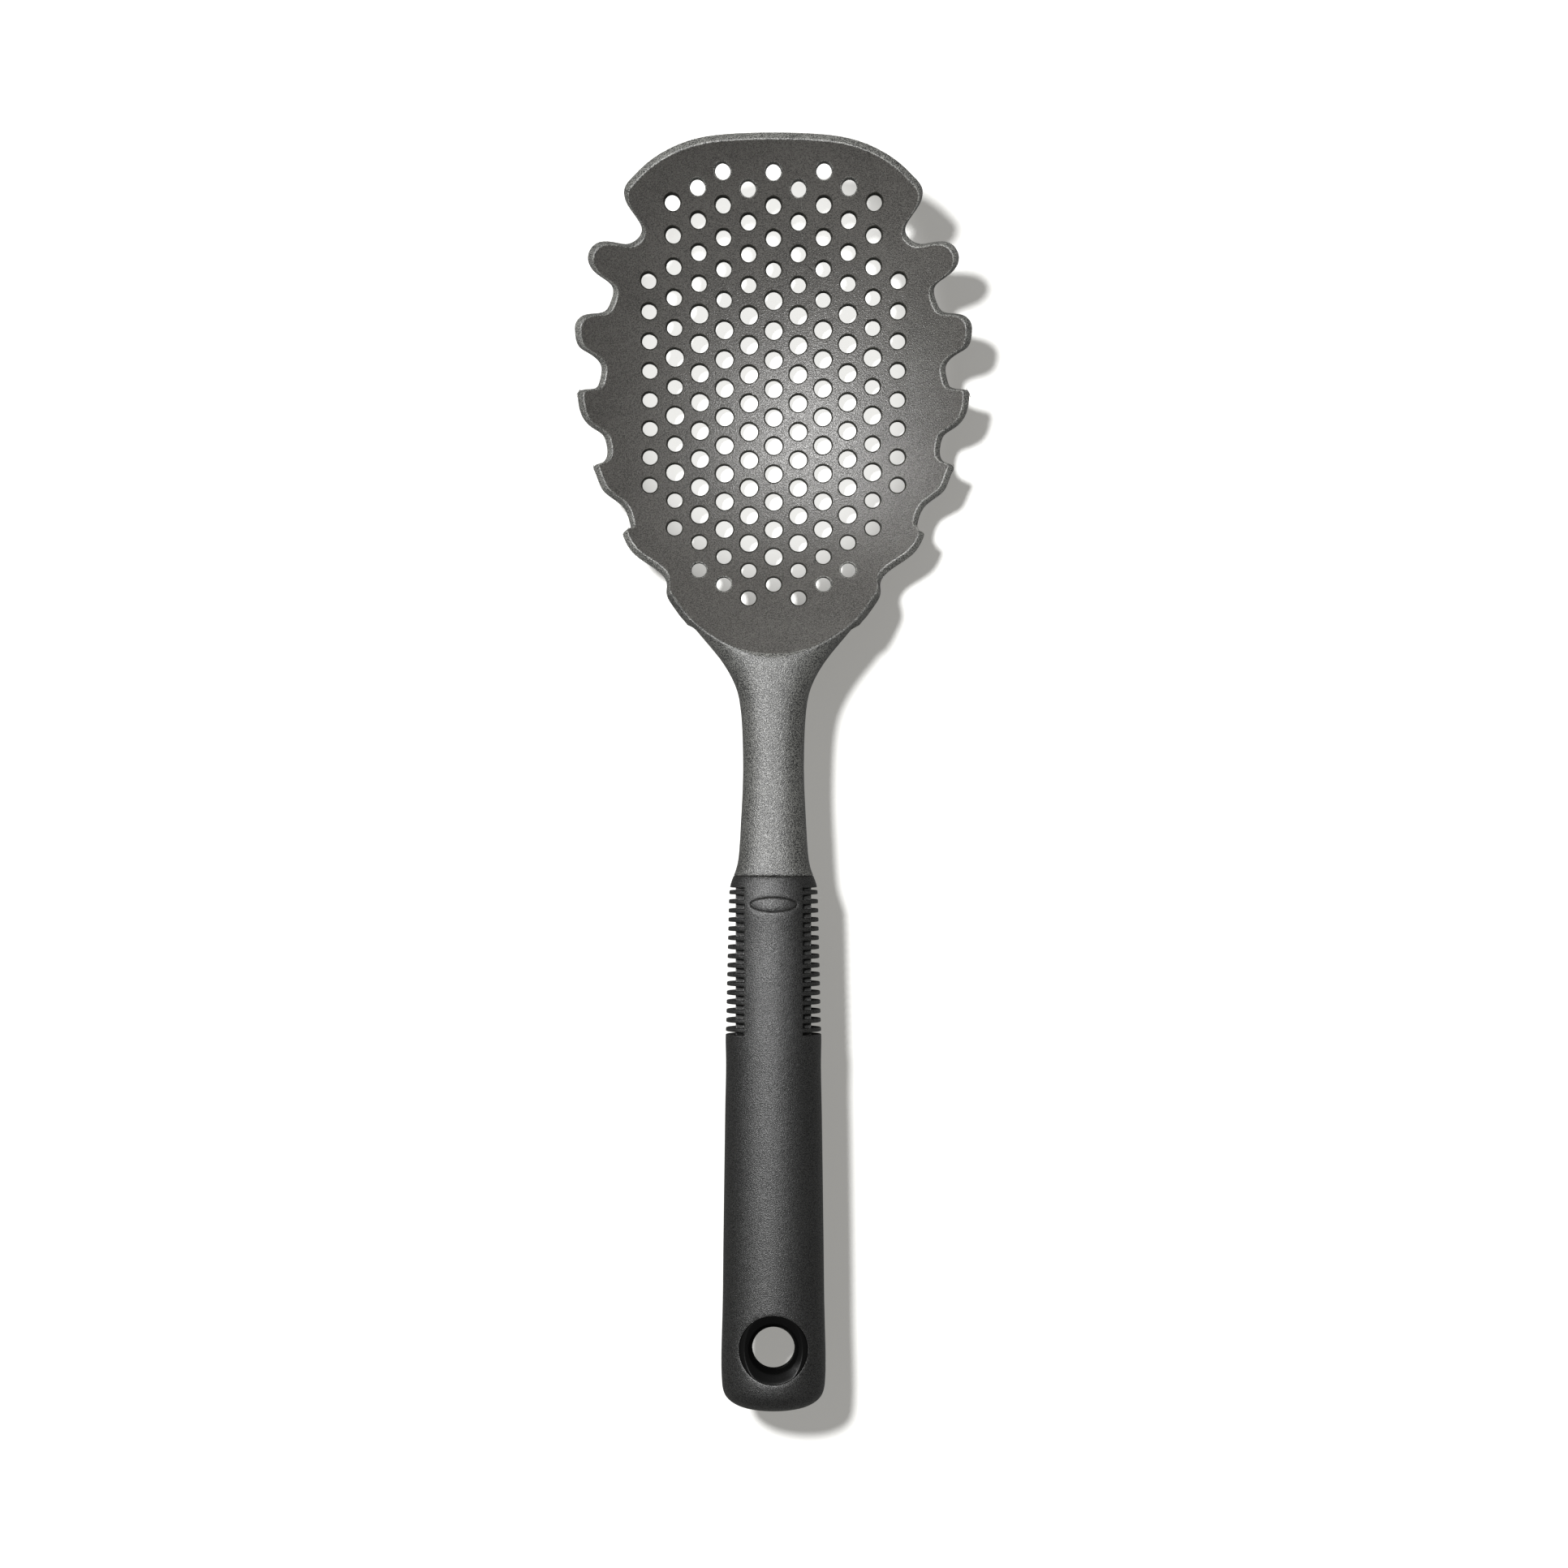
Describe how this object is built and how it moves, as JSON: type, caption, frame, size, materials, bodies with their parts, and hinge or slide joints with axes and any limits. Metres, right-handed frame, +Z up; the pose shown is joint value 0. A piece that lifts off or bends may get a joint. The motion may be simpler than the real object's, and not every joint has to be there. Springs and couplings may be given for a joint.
{
  "type": "pasta server",
  "caption": "Toothed, perforated bowl on a slim neck with a soft ribbed grip and a ringed hang hole; lifts and drains pasta.",
  "frame": {"origin": "bottom centre of the whole tool's box; the bowl's lowest point stands on Z = 0", "axes": "+Y runs from the grip to the bowl's lip, +Z is up out of the open bowl, +X is across the tool"},
  "size_m": [0.1098, 0.3494, 0.0412],
  "materials": {
    "head_nylon": "warm dark grey glass-filled nylon, fine spark-eroded speckle, lighter on the rim and neck",
    "core_plastic": "smooth near-black hard plastic",
    "grip_rubber": "soft matt black thermoplastic rubber, finely speckled"
  },
  "bodies": {
    "root": {"scoop_head": "head_nylon", "handle_core": "core_plastic", "grip_sleeve": "grip_rubber"}
  },
  "joints": []
}
